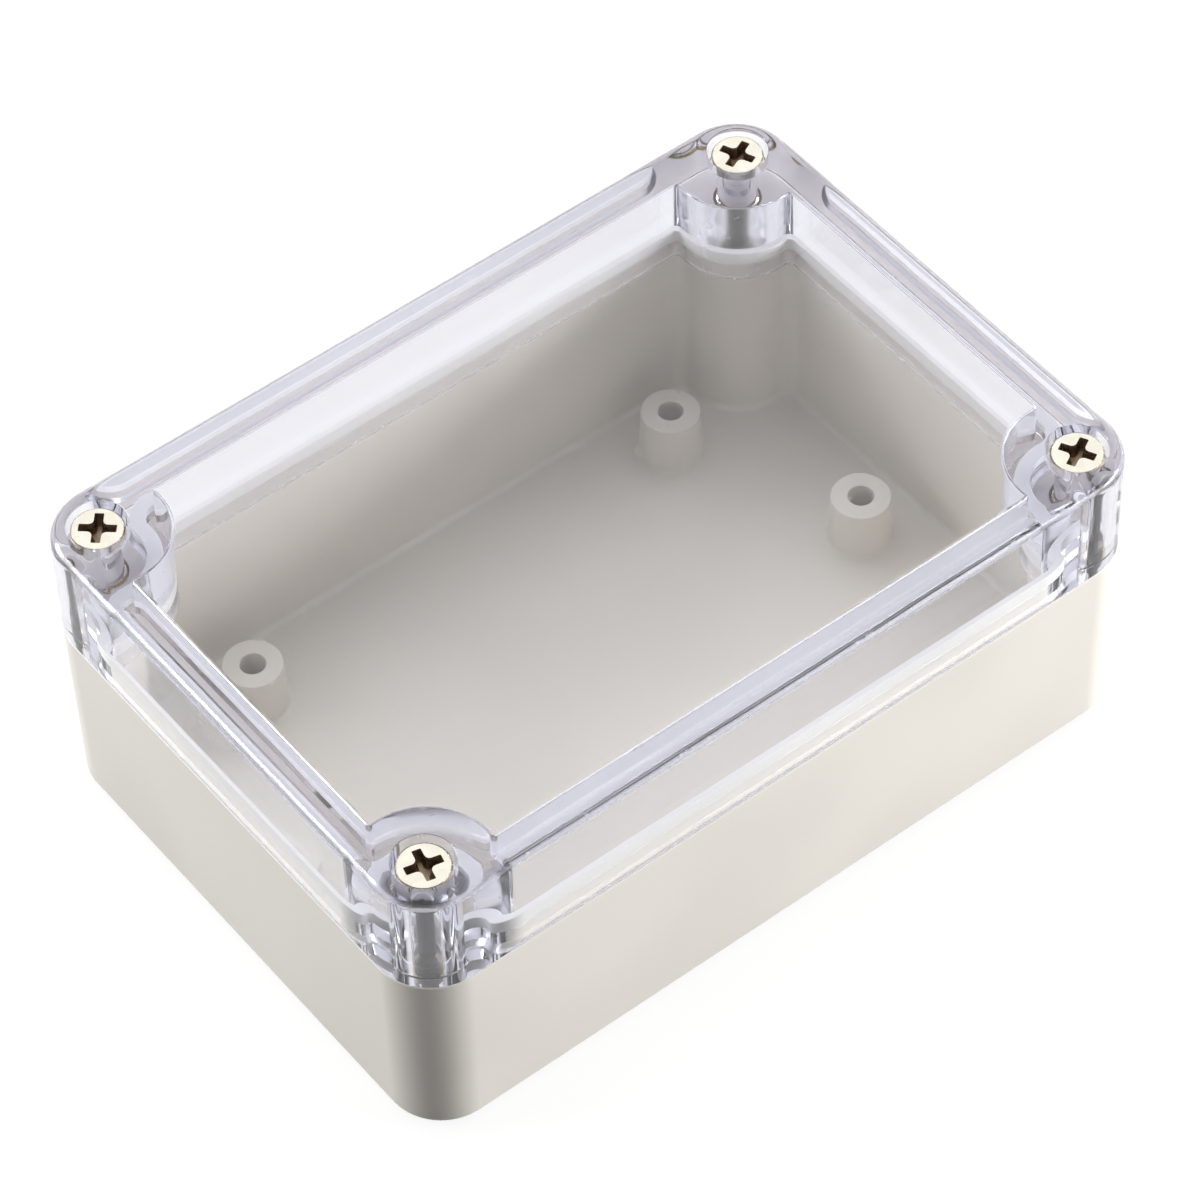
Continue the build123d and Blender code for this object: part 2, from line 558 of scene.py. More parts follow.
def moulding_group() -> bpy.types.NodeTree:
    """Effect of a moulded surface: fine grain, and slow changes of tone from the melt's flow.

    Grain is noise at the grain size. Tone is soft noise at the flow size.

    Returns:
        The group, with outputs Grain and Tone from 0 to 1.
    """
    group, sheet = new_group("moulding", {"Grain Size": 0.0002, "Flow Size": 0.02}, ("Grain", "Tone"))
    ends = sheet.add("NodeGroupInput").outputs
    grain = sheet.noise(ends["Vector"], sheet.math("DIVIDE", 1.0, ends["Grain Size"]), 1.0, roughness=0.6)
    tone = sheet.noise(ends["Vector"], sheet.math("DIVIDE", 1.0, ends["Flow Size"]), 0.0)
    sheet.add("NodeGroupOutput", {"Grain": grain.outputs["Fac"], "Tone": tone.outputs["Fac"]})
    return group


def scuff_group() -> bpy.types.NodeTree:
    """Effect of handling: sparse short hairlines that lie in every direction.

    The place is bent by noise, then stretched noise is cut to a thin band about its middle
    value, and a second noise lets only some stretches through.

    Returns:
        The group, with output Mask from 0 to 1.
    """
    bend_scale, bend_reach, patch_scale = 35.0, 0.06, 160.0
    turn, stretch, line_width = (0.4, 0.7, 0.9), (1.0, 0.06, 0.35), 0.012
    group, sheet = new_group("scuffs", {"Spacing": 0.004, "Share": 0.5}, ("Mask",))
    ends = sheet.add("NodeGroupInput").outputs
    place = ends["Vector"]
    bend = sheet.noise(place, bend_scale, 1.0)
    bent = sheet.vector("MULTIPLY_ADD", bend.outputs["Color"], (bend_reach,) * 3, place)
    stretched = sheet.add("ShaderNodeMapping", {"Vector": bent, "Rotation": turn, "Scale": stretch})
    lines = sheet.noise(stretched.outputs[0], sheet.math("DIVIDE", 1.0, ends["Spacing"]), 0.0)
    off_middle = sheet.math("ABSOLUTE", sheet.math("SUBTRACT", lines.outputs["Fac"], 0.5))
    thin = sheet.ramp(off_middle, 0.0, line_width, 1.0, 0.0)
    patches = sheet.noise(place, patch_scale, 1.0)
    threshold = sheet.math("SUBTRACT", 1.0, ends["Share"])
    through = sheet.math("GREATER_THAN", patches.outputs["Fac"], threshold)
    sheet.add("NodeGroupOutput", {"Mask": sheet.math("MULTIPLY", thin, through)})
    return group


class Finish(Protocol):
    """Anything that can make its own material."""

    def material(self) -> bpy.types.Material:
        """The finished material."""


def new_material(name: str) -> tuple[bpy.types.Material, Sheet]:
    """Starts an empty node material.

    Args:
        name: Name of the material.

    Returns:
        The material and its sheet.
    """
    material = bpy.data.materials.new(name)
    material.use_nodes = True
    return material, Sheet(material.node_tree)


@dataclass(frozen=True)
class MouldedPlastic:
    """Satin moulded plastic or rubber: even colour, fine spark-eroded grain, slight flow tone."""

    name: str
    colour: tuple[float, float, float]
    roughness: float
    grain_size: float
    grain_depth: float
    moulding: bpy.types.NodeTree
    scuffs: bpy.types.NodeTree
    tone_range: float = 0.03
    polish_range: float = 0.05
    scuff_share: float = 0.38
    scuff_gloss: float = 0.08

    def material(self) -> bpy.types.Material:
        """The material: tone on the colour, grain on roughness and bump, scuffs on roughness.

        Returns:
            The node material.
        """
        material, sheet = new_material(self.name)
        place = sheet.place()
        mould = sheet.group(self.moulding, {"Vector": place, "Grain Size": self.grain_size})
        scuff = sheet.group(self.scuffs, {"Vector": place, "Share": self.scuff_share})
        dark = tuple(channel * (1 - self.tone_range) for channel in self.colour) + (1.0,)
        light = tuple(min(channel * (1 + self.tone_range), 1.0) for channel in self.colour) + (1.0,)
        colour = sheet.blend(sheet.ramp(mould["Tone"], *NOISE_WIDE, 0.0, 1.0), dark, light)
        glossy, matt = self.roughness - self.polish_range, self.roughness + self.polish_range
        polished = sheet.ramp(mould["Grain"], *NOISE_NARROW, glossy, matt)
        shader = sheet.add("ShaderNodeBsdfPrincipled", {
            "Base Color": colour,
            "Roughness": sheet.math("MULTIPLY_ADD", scuff["Mask"], -self.scuff_gloss, polished),
            "Normal": sheet.bump(mould["Grain"], self.grain_depth),
            "IOR": 1.53,
        })
        sheet.add("ShaderNodeOutputMaterial", {"Surface": shader.outputs[0]})
        return material


@dataclass(frozen=True)
class ClearPlastic:
    """Polished clear plastic with a faint lavender body and slightly wavy moulded faces.

    Light from lamps and from matt surfaces passes with a small loss at each face, as it does
    through a clear lid. Every other ray is bent and mirrored by the solid. Upright faces are a
    little wavy, and rounded edges and the rounds about the screws are frosted.
    """

    name: str
    tint: tuple[float, float, float]
    body: tuple[float, float, float]
    density: float
    wave_size: float
    wave_depth: float
    fleck_size: float
    axis: tuple[float, float]
    moulding: bpy.types.NodeTree
    polish: float = 0.0
    wall_roughness: float = 0.04
    edge_roughness: float = 0.3
    frost: float = 0.16
    boss_reach: float = 9.5
    boss_side: tuple[float, float] = (-2.5, -1.5)
    bore_reach: tuple[float, float] = (4.2, 4.6)
    bore_share: float = 0.05
    wall_waves: float = 3.5
    fleck_noise: tuple[float, float] = (0.66, 0.72)
    fleck_roughness: float = 0.12
    upright_rise: tuple[float, float] = (0.35, 0.95)
    sloped_rise: tuple[float, float] = (0.1, 0.4)
    passed: float = 0.9

    def corner_mask(self, sheet: Sheet, place: bpy.types.NodeSocket) -> bpy.types.NodeSocket:
        """Mask of the bores and of the rounds about them on the hollow's side.

        Args:
            sheet: The material's sheet.
            place: Object coordinates.

        Returns:
            The mask, from 0 to 1.
        """
        offset = sheet.vector("MULTIPLY", sheet.from_axis(place, self.axis), (1 / MILLIMETRE,) * 3)
        distance = sheet.vector("LENGTH", offset)
        sides = sheet.add("ShaderNodeSeparateXYZ", {0: offset})
        most = sheet.math("MAXIMUM", sides.outputs["X"], sides.outputs["Y"])
        hollow_side = sheet.ramp(most, *self.boss_side, 1.0, 0.0)
        near = sheet.math("LESS_THAN", distance, self.boss_reach)
        bore = sheet.ramp(distance, *self.bore_reach, self.bore_share, 0.0)
        return sheet.math("MAXIMUM", sheet.math("MULTIPLY", hollow_side, near), bore)

    def material(self) -> bpy.types.Material:
        """The material: clear shader, moulded waviness, flecks, and colour by thickness.

        Returns:
            The node material.
        """
        material, sheet = new_material(self.name)
        place = sheet.place()
        mould = sheet.group(self.moulding, {
            "Vector": place, "Flow Size": self.wave_size, "Grain Size": self.fleck_size,
        })
        flecks = sheet.ramp(mould["Grain"], *self.fleck_noise, 0.0, self.fleck_roughness)
        normal = sheet.add("ShaderNodeTexCoord").outputs["Normal"]
        rise = sheet.math("ABSOLUTE", sheet.add("ShaderNodeSeparateXYZ", {0: normal}).outputs["Z"])
        upright = sheet.ramp(rise, *self.upright_rise, 1.0, 0.0)
        waves = sheet.ramp(upright, 0.0, 1.0, 1.0, self.wall_waves)
        even = sheet.ramp(upright, 0.0, 1.0, self.polish, self.wall_roughness)
        sloped = sheet.math("MULTIPLY", upright, sheet.ramp(rise, *self.sloped_rise, 0.0, 1.0))
        even = sheet.math("MULTIPLY_ADD", sloped, self.edge_roughness, even)
        frosted = sheet.math("MULTIPLY", upright, self.corner_mask(sheet, place))
        rough = sheet.math("MULTIPLY_ADD", frosted, self.frost, sheet.math("ADD", even, flecks))
        path = sheet.add("ShaderNodeLightPath")
        passes = sheet.math("MAXIMUM", path.outputs["Is Shadow Ray"], path.outputs["Is Diffuse Ray"])
        shader = sheet.add("ShaderNodeBsdfPrincipled", {
            "Base Color": (*self.tint, 1.0),
            "Roughness": rough,
            "Normal": sheet.bump(sheet.math("MULTIPLY", mould["Tone"], waves), self.wave_depth),
            "IOR": 1.585,
            "Transmission Weight": 1.0,
            "Alpha": sheet.math("MULTIPLY_ADD", passes, -self.passed, 1.0),
        })
        inside = sheet.add("ShaderNodeVolumeAbsorption", {
            "Color": (*self.body, 1.0), "Density": self.density,
        })
        sheet.add("ShaderNodeOutputMaterial", {
            "Surface": shader.outputs[0], "Volume": inside.outputs[0],
        })
        return material


@dataclass(frozen=True)
class BrightMetal:
    """Plated or turned metal: rings about the nearest corner screw's axis, mottled plating, hairlines."""

    name: str
    colour: tuple[float, float, float]
    roughness: float
    axis: tuple[float, float]
    moulding: bpy.types.NodeTree
    scuffs: bpy.types.NodeTree
    ring_pitch: float = 0.00018
    ring_depth: float = 0.0000015
    mottle_size: float = 0.0004
    tone_size: float = 0.0015
    scuff_spacing: float = 0.0012
    scuff_roughness: float = 0.1
    smoother: float = 0.05
    rougher: float = 0.06
    dullness: float = 0.93

    def material(self) -> bpy.types.Material:
        """The material: rings from the distance to the axis, which is the same at all four corners.

        Returns:
            The node material.
        """
        material, sheet = new_material(self.name)
        place = sheet.place()
        distance = sheet.vector("LENGTH", sheet.from_axis(place, self.axis))
        rings = sheet.math("SINE", sheet.math("MULTIPLY", distance, FULL_TURN / self.ring_pitch))
        mould = sheet.group(self.moulding, {
            "Vector": place, "Grain Size": self.mottle_size, "Flow Size": self.tone_size,
        })
        scuff = sheet.group(self.scuffs, {"Vector": place, "Spacing": self.scuff_spacing})
        dull = tuple(channel * self.dullness for channel in self.colour) + (1.0,)
        toned = sheet.ramp(mould["Tone"], *NOISE_NARROW, 0.0, 1.0)
        smooth, rough = self.roughness - self.smoother, self.roughness + self.rougher
        mottled = sheet.ramp(mould["Grain"], *NOISE_NARROW, smooth, rough)
        shader = sheet.add("ShaderNodeBsdfPrincipled", {
            "Base Color": sheet.blend(toned, dull, (*self.colour, 1.0)),
            "Metallic": 1.0,
            "Roughness": sheet.math("MULTIPLY_ADD", scuff["Mask"], self.scuff_roughness, mottled),
            "Normal": sheet.bump(rings, self.ring_depth),
        })
        sheet.add("ShaderNodeOutputMaterial", {"Surface": shader.outputs[0]})
        return material


@dataclass(frozen=True)
class StudioPaper:
    """Matt white floor that the camera, and what mirrors or bends its view, sees as near white."""

    name: str = "studio_paper"
    albedo: float = 0.18
    lift: float = 0.87
    fibre_scale: float = 900.0
    fibre_shade: float = 0.99

    def material(self) -> bpy.types.Material:
        """The material: a matt part that takes the shadow, and light added for the seen rays.

        Returns:
            The node material.
        """
        material, sheet = new_material(self.name)
        seen = sheet.seen_ray()
        fibre = sheet.noise(sheet.place(), self.fibre_scale, 2.0)
        grey = sheet.ramp(fibre.outputs["Fac"], *NOISE_WIDE, self.albedo * self.fibre_shade, self.albedo)
        matt = sheet.add("ShaderNodeBsdfDiffuse", {"Color": grey})
        glow = sheet.add("ShaderNodeEmission", {
            "Color": WHITE, "Strength": sheet.math("MULTIPLY", seen, self.lift),
        })
        both = sheet.add("ShaderNodeAddShader", {0: matt.outputs[0], 1: glow.outputs[0]})
        sheet.add("ShaderNodeOutputMaterial", {"Surface": both.outputs[0]})
        return material


# ---- the box ----


@dataclass(frozen=True)
class BoxPlan:
    """Sizes that the shells share: outside, seal line and screw places."""

    length: float = 100.0
    width: float = 69.7
    parting_height: float = 25.3
    total_height: float = 40.3
    corner_radius: float = 7.0
    draft: float = math.tan(math.radians(0.7))
    parting_edge: float = 0.15
    contact_gap: float = 0.015
    skirt_inset: float = 1.4
    tongue_inset: float = 1.55
    base_wall: float = 2.95
    lip_inset: float = 3.1
    lid_wall: float = 4.2
    groove_depth: float = 4.5
    core_radius: float = 4.95
    inner_radius: float = 0.75
    screw_inset: float = 5.7
    corner_steps: int = 24
    blend_steps: int = 12
    round_steps: int = 22
    bore_steps: int = 64

    @property
    def screw_axis(self) -> np.ndarray:
        """X and Y of the screw in the corner where both are positive."""
        return np.array([self.length / 2 - self.screw_inset, self.width / 2 - self.screw_inset])

    def screw_place(self, corner: Corner) -> np.ndarray:
        """X and Y of one corner's screw."""
        return self.screw_axis * corner.signs

    def bores(self, radius: float) -> list[np.ndarray]:
        """Circles of one radius about the four screw axes."""
        return [circle(self.screw_place(corner), radius, self.bore_steps) for corner in Corner]

    def outside(self) -> Outline:
        """Outline of the whole box in plan."""
        return rounded_rectangle(self.length, self.width, self.corner_radius, self.corner_steps)

    def seal_line(self) -> Outline:
        """Line that runs along the walls and bends inwards round each screw, at inset zero.

        In one quarter it is three arcs: a blend off the side wall, a round about the screw
        and a blend on to the end wall. The blends' centres lie on circles about the screw, so
        a parallel line at any inset keeps all the centres. The other quarters mirror it.

        Returns:
            The outline, whose parallels are the edges of tongue, groove, gasket and hollow.
        """
        round_radius = self.core_radius - self.skirt_inset
        blend_radius = self.inner_radius + self.lid_wall
        reach = round_radius + blend_radius
        screw = self.screw_axis
        beside = np.array([self.length / 2, self.width / 2]) - blend_radius - screw
        back_off = np.sqrt(reach**2 - beside**2)
        side_centre = screw + (beside[0], -back_off[0])
        end_centre = screw + (-back_off[1], beside[1])
        to_side, to_end = (math.atan2(*(centre - screw)[::-1]) for centre in (side_centre, end_centre))
        backwards = (to_end - to_side) % FULL_TURN - FULL_TURN
        from_round, quarter = to_end - math.pi, math.pi / 2
        pieces = (
            arc(side_centre, 0.0, to_side + math.pi, self.blend_steps) + (blend_radius, -1.0),
            arc(screw, to_side, backwards, self.round_steps) + (round_radius, 1.0),
            arc(end_centre, from_round, quarter - from_round, self.blend_steps) + (blend_radius, -1.0),
        )
        points = np.concatenate([centre + radius * way for centre, way, radius, _ in pieces])
        inward = np.concatenate([way * sense for _, way, _, sense in pieces])
        same_place = 1e-6
        apart = np.linalg.norm(np.diff(points, axis=0, append=points[:1] + 1), axis=1) > same_place
        points, inward = points[apart], inward[apart]
        across, down = np.array([-1.0, 1.0]), np.array([1.0, -1.0])
        return Outline(
            np.concatenate([points, (points * across)[::-1], -points, (points * down)[::-1]]),
            np.concatenate([inward, (inward * across)[::-1], -inward, (inward * down)[::-1]]),
        )


def finish_piece(piece: bpy.types.Object, body: str, slot: Slot, *nodes: str) -> None:
    """Ties a piece to its body, and hides the CAD nodes that it stands for.

    Args:
        piece: The piece.
        body: Name of the body that it moves with.
        slot: Material slot of the record. Not used.
        nodes: CAD nodes that it replaces.
    """
    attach(piece, body)
    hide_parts(*nodes)


@dataclass
class Tub:
    """Moulded tub: drafted walls, tongue, corner posts and board standoffs."""

    plan: BoxPlan
    finish: Finish
    floor: float = 2.9
    foot_edge: float = 1.2
    tongue_height: float = 2.5
    tongue_edge: float = 0.25
    floor_fillet: float = 0.8
    small_edge: float = 0.1
    insert_radius: float = 2.8
    pocket_depth: float = 7.2
    drill_radius: float = 2.25
    drill_depth: float = 10.2
    standoff_height: float = 6.6
    standoff_radius: float = 3.5
    standoff_draft: float = math.tan(math.radians(2.5))
    standoff_foot: float = 0.4
    standoff_edge: float = 0.15
    hole_radius: float = 1.5
    hole_depth: float = 5.5
    standoff_steps: int = 48
    standoffs: tuple[tuple[float, float], ...] = (
        (30.0, 24.0), (-30.0, 24.0), (-30.0, -24.0), (30.0, -24.0), (38.8, 0.0), (-38.8, 0.0),
    )

    def shell(self) -> list[Patch]:
        """Outside wall, underside, parting face, tongue and hollow.

        Returns:
            The patches.
        """
        plan, top = self.plan, self.top
        drawn_in = top * plan.draft
        outside, seal = plan.outside(), plan.seal_line()
        wall = rounded_profile([
            (drawn_in + self.foot_edge, 0.0, 0.0),
            (drawn_in, 0.0, self.foot_edge),
            (plan.parting_edge * plan.draft, top - plan.parting_edge, self.small_edge / 2),
            (plan.parting_edge, top, 0.0),
        ], steps=10)
        floor_inset = plan.base_wall + (top - self.floor) * plan.draft
        hollow = rounded_profile([
            (plan.tongue_inset, top, 0.0),
            (plan.tongue_inset, top + self.tongue_height, self.tongue_edge),
            (plan.base_wall, top + self.tongue_height, self.tongue_edge),
            (plan.base_wall, top, self.tongue_edge),
            (floor_inset, self.floor, self.floor_fillet),
            (floor_inset + self.floor_fillet, self.floor, 0.0),
        ], steps=6)
        feet = [circle(place, self.foot_radius, self.standoff_steps) for place in self.standoffs]
        rim_holes = [seal.at(plan.tongue_inset), *plan.bores(self.insert_radius)]
        return [
            sweep(outside, wall),
            level(0.0, -1, outside.at(wall.points[0, 0])),
            level(top, 1, outside.at(wall.points[-1, 0]), rim_holes),
            sweep(seal, hollow),
            level(self.floor, 1, seal.at(hollow.points[-1, 0]), feet),
        ]

    @property
    def top(self) -> float:
        """Height of the parting face."""
        return self.plan.parting_height - self.plan.contact_gap

    @property
    def foot_radius(self) -> float:
        """Radius of a standoff where its foot fillet meets the floor."""
        return self.standoff_radius + self.standoff_height * self.standoff_draft + self.standoff_foot

    def standoff(self, place: Sequence[float]) -> Patch:
        """One standoff: drafted post with a filleted foot, soft rim and blind hole.

        Args:
            place: X and Y of its axis.

        Returns:
            The surface of revolution.
        """
        top = self.floor + self.standoff_height
        return revolve(place, rounded_profile([
            (0.0, top - self.hole_depth, 0.0),
            (self.hole_radius, top - self.hole_depth, self.small_edge),
            (self.hole_radius, top, self.standoff_edge),
            (self.standoff_radius, top, self.standoff_edge),
            (self.foot_radius - self.standoff_foot, self.floor, self.standoff_foot),
            (self.foot_radius, self.floor, 0.0),
        ]), self.standoff_steps)

    def post_hole(self, corner: Corner) -> Patch:
        """Stepped hole in a corner post, for the insert and the point of the screw.

        Args:
            corner: The corner.

        Returns:
            The surface of revolution.
        """
        low, pocket = self.top - self.drill_depth, self.top - self.pocket_depth
        return revolve(self.plan.screw_place(corner), rounded_profile([
            (0.0, low, 0.0),
            (self.drill_radius, low, self.small_edge),
            (self.drill_radius, pocket, self.small_edge),
            (self.insert_radius, pocket, self.small_edge),
            (self.insert_radius, self.top, 0.0),
        ]), self.plan.bore_steps)

    def build(self) -> None:
        """Makes, dresses and ties the tub."""
        patches = self.shell() + [self.standoff(place) for place in self.standoffs]
        patches += [self.post_hole(corner) for corner in Corner]
        piece = make_piece("tub_shell", patches, [self.finish.material()])
        finish_piece(piece, "base", Slot.TUB, "base")


@dataclass
class ClearLid:
    """Clear moulded lid: plate, walls with groove and lip, corner rounds and stepped bores."""

    plan: BoxPlan
    finish: Finish
    plate: float = 2.0
    top_edge: float = 1.6
    lip_rise: float = 0.7
    lip_edge: float = 0.2
    lead_in_width: float = 0.4
    lead_in_height: float = 0.9
    plate_fillet: float = 0.5
    small_edge: float = 0.08
    mouth_edge: float = 0.05
    shank_mouth: float = 0.15
    head_seat: float = 2.8
    head_bore_radius: float = 3.5
    shank_bore_radius: float = 2.3

    def shell(self) -> list[Patch]:
        """Outside wall, top, skirt's edge, groove, lip, hollow and plate.

        Returns:
            The patches.
        """
        plan, bottom = self.plan, self.bottom
        under = plan.total_height - self.plate
        roof = plan.parting_height + plan.groove_depth
        lip = plan.parting_height + self.lip_rise
        hollow_low = plan.lid_wall + self.lip_rise * plan.draft
        hollow_high = plan.lid_wall + (under - plan.parting_height) * plan.draft
        outside, seal = plan.outside(), plan.seal_line()
        wall = rounded_profile([
            (plan.parting_edge, bottom, 0.0),
            (0.0, bottom + plan.parting_edge, self.small_edge / 2),
            (0.0, plan.total_height, self.top_edge),
            (self.top_edge, plan.total_height, 0.0),
        ], steps=12)
        inner = rounded_profile([
            (hollow_high + self.plate_fillet, under, 0.0),
            (hollow_high, under, self.plate_fillet),
            (hollow_low, lip, self.lip_edge),
            (plan.lip_inset, lip, self.small_edge),
            (plan.lip_inset, roof, self.small_edge),
            (plan.skirt_inset, roof, self.small_edge),
            (plan.skirt_inset, bottom + self.lead_in_height, self.small_edge),
            (plan.skirt_inset - self.lead_in_width, bottom, 0.0),
        ], steps=6)
        top_holes = plan.bores(self.head_bore_radius + self.mouth_edge)
        shank_holes = plan.bores(self.shank_bore_radius + self.shank_mouth)
        return [
            sweep(outside, wall),
            level(plan.total_height, 1, outside.at(wall.points[-1, 0]), top_holes),
            level(bottom, -1, outside.at(wall.points[0, 0]), [seal.at(inner.points[-1, 0]), *shank_holes]),
            sweep(seal, inner),
            level(under, -1, seal.at(inner.points[0, 0])),
        ]

    @property
    def bottom(self) -> float:
        """Height of the skirt's edge."""
        return self.plan.parting_height + self.plan.contact_gap

    def bore(self, corner: Corner) -> Patch:
        """Stepped bore: clearance for the shank, seat for the head, softened mouths.

        Args:
            corner: The corner.

        Returns:
            The surface of revolution.
        """
        plan = self.plan
        seat = plan.total_height - self.head_seat
        return revolve(plan.screw_place(corner), rounded_profile([
            (self.shank_bore_radius + self.shank_mouth, self.bottom, 0.0),
            (self.shank_bore_radius, self.bottom + self.shank_mouth, self.small_edge),
            (self.shank_bore_radius, seat, self.small_edge),
            (self.head_bore_radius, seat, self.small_edge),
            (self.head_bore_radius, plan.total_height - self.mouth_edge, self.mouth_edge / 2),
            (self.head_bore_radius + self.mouth_edge, plan.total_height, 0.0),
        ]), plan.bore_steps)

    def build(self) -> None:
        """Makes, dresses and ties the lid."""
        patches = self.shell() + [self.bore(corner) for corner in Corner]
        piece = make_piece("lid_clear", patches, [self.finish.material()])
        finish_piece(piece, "lid", Slot.CLEAR, "lid")


@dataclass
class GasketRing:
    """Moulded ring pressed into the top of the lid's groove, so close that no air is left between."""

    plan: BoxPlan
    finish: Finish
    height: float = 1.9
    squeeze: float = 0.02
    edge: float = 0.3
    top_edge: float = 0.1

    def build(self) -> None:
        """Makes, dresses and ties the ring: one closed profile carried along the seal line."""
        plan = self.plan
        top = plan.parting_height + plan.groove_depth + self.squeeze
        low = plan.parting_height + plan.groove_depth - self.height
        near, far = plan.skirt_inset - self.squeeze, plan.lip_inset + self.squeeze
        middle = (near + far) / 2
        profile = rounded_profile([
            (middle, low, 0.0), (near, low, self.edge), (near, top, self.top_edge),
            (far, top, self.top_edge), (far, low, self.edge), (middle, low, 0.0),
        ])
        piece = make_piece("gasket_ring", [sweep(plan.seal_line(), profile)], [self.finish.material()])
        finish_piece(piece, "lid", Slot.GASKET, "gasket")


@dataclass
class CornerScrew:
    """Machine screw: flat head with a cross recess, waisted shank, rolled thread and point."""

    plan: BoxPlan
    corner: Corner
    turn: float
    materials: Sequence[bpy.types.Material]
    seat: float = 37.5
    head_height: float = 2.2
    head_radius: float = 3.0
    head_edge: float = 0.3
    under_gap: float = 0.015
    shank_radius: float = 1.95
    shank_length: float = 20.0
    collar_length: float = 1.6
    waist_radius: float = 1.25
    thread_lead: float = 1.0
    rim_steps: int = 6
    # Rows of the rim's edge profile that take a painted shade: a dark ring that stands in for the shadow
    # in the gap round the head
    rim_shade_rows: tuple[int, int] = (4, 7)
    thread_top: float = 26.0
    thread_pitch: float = 0.7
    thread_depth: float = 0.36
    point_edge: float = 0.5
    cross_span: float = 4.2
    cross_width: float = 1.05
    cross_depth: float = 1.5
    cross_foot_span: float = 3.0
    cross_foot_width: float = 0.5
    cross_round: float = 0.58
    tip_round: float = 0.12
    wall_slope: float = 0.25
    wall_rows: int = 4
    steps: int = 64

    def cross(self, span: float, width: float, inner_round: float) -> Outline:
        """Outline of the recess at one depth: a plus sign with rounded inner corners.

        Each of the twelve corners is an arc tangent to its two sides, run anticlockwise.

        Args:
            span: Length of the two arms, tip to tip.
            width: Width of an arm.
            inner_round: Radius of the four inner corners.

        Returns:
            The outline about the screw's axis.
        """
        tip_round = self.tip_round * width
        half, side = span / 2, width / 2
        arm = [(half, -side, tip_round), (half, side, tip_round), (side, side, inner_round)]
        corners = []
        for cosine, sine in ((1, 0), (0, 1), (-1, 0), (0, -1)):
            corners += [(x * cosine - y * sine, x * sine + y * cosine, r) for x, y, r in arm]
        start = ((corners[0][0] + corners[1][0]) / 2, (corners[0][1] + corners[1][1]) / 2, 0.0)
        profile = rounded_profile([start, *corners[1:], corners[0], start])
        angle = math.radians(self.turn)
        turned = np.array([[math.cos(angle), math.sin(angle)], [-math.sin(angle), math.cos(angle)]])
        points, inward = profile.points[:-1] @ turned, profile.normals[:-1] @ turned
        return Outline(points + self.plan.screw_place(self.corner), inward)

    def head(self) -> list[Patch]:
        """Head: rounded rim, flat top around the recess, recess walls and floor.

        The recess wall is the straight blend from the outline at the top to the smaller one
        at the foot. The recess walls and floor, and a ring on the lower half of the rim's
        rounded edge, are coloured dark as painted shade.

        Returns:
            The patches.
        """
        top = self.seat + self.head_height
        centre = self.plan.screw_place(self.corner)
        base = self.seat + self.under_gap
        edge = rounded_profile([
            (self.head_radius - self.head_edge, top, 0.0),
            (self.head_radius, top, self.head_edge),
            (self.head_radius, base, self.head_edge / 3),
            (self.shank_radius, base, 0.0),
        ], self.rim_steps)
        # The rim's edge is cut in three: plated colour above, a ring of painted shade, plated colour below
        first, last = self.rim_shade_rows
        bright, line, side = (
            revolve(centre, Profile(edge.points[rows], edge.normals[rows]), self.steps)
            for rows in (slice(0, first + 1), slice(first, last + 1), slice(last, None))
        )
        collar = base - self.collar_length
        waist_end = self.thread_top + self.thread_lead
        step = self.shank_radius - self.waist_radius
        shank = revolve(centre, rounded_profile([
            (self.shank_radius, base, 0.0),
            (self.shank_radius, collar, step / 3),
            (self.waist_radius, collar - step, step / 3),
            (self.waist_radius, waist_end + step, step / 3),
            (self.shank_radius, waist_end, step / 3),
            (self.shank_radius, self.thread_top, 0.0),
        ]), self.steps)
        mouth = self.cross(self.cross_span, self.cross_width, self.cross_round)
        foot = self.cross(self.cross_foot_span, self.cross_foot_width, self.cross_round)
        share = np.linspace(0.0, 1.0, self.wall_rows + 1)[:, None, None]
        plan_points = mouth.points * (1 - share) + foot.points * share
        heights = np.broadcast_to(top - self.cross_depth * share, plan_points.shape[:2] + (1,))
        inward = np.broadcast_to(mouth.inward, plan_points.shape)
        slope = np.full(plan_points.shape[:2] + (1,), self.wall_slope)
        normals = np.concatenate([inward, slope], axis=2)
        normals /= np.linalg.norm(normals, axis=2, keepdims=True)
        walls = grid(np.concatenate([plan_points, heights], axis=2), normals)
        disc = circle(centre, self.head_radius - self.head_edge, self.steps)
        return [
            bright,
            # Painted shade: dark ring for the shadow in the gap round the head
            line.dressed(ScrewPart.PAINTED_SHADE),
            side,
            # Painted shade: the shank is near black for the shade in the bore
            shank.dressed(ScrewPart.PAINTED_SHANK_SHADE),
            level(top, 1, disc, [mouth.points]),
            # Painted shade on the recess walls and floor
            walls.dressed(ScrewPart.PAINTED_SHADE),
            level(top - self.cross_depth, 1, foot.points).dressed(ScrewPart.PAINTED_SHADE),
        ]

    def thread(self) -> list[Patch]:
        """Rolled thread, point and the flat end of the point.

        The radius is the shank's less the thread's depth times a triangle wave of height over
        pitch less turns, faded in over the first turn, and drawn in at the point.

        Returns:
            The thread's surface and the flat end.
        """
        tip = self.seat - self.shank_length
        rows = int((self.thread_top - tip) / self.thread_pitch * ROWS_A_TURN)
        height, around = rows_and_turns(self.thread_top, tip, rows, self.steps)
        wave = triangle_wave(height / self.thread_pitch - around)
        fade = np.clip((self.thread_top - height) / self.thread_pitch, 0.0, 1.0)
        point = np.clip((height - tip) / self.point_edge, 0.0, 1.0)
        radius = self.shank_radius - self.thread_depth * wave * fade - self.point_edge * (1 - point)
        points, surface = about_axis(self.plan.screw_place(self.corner), radius, height, around)
        flat_end = level(float(points[-1, 0, 2]), -1, points[-1, :, :2])
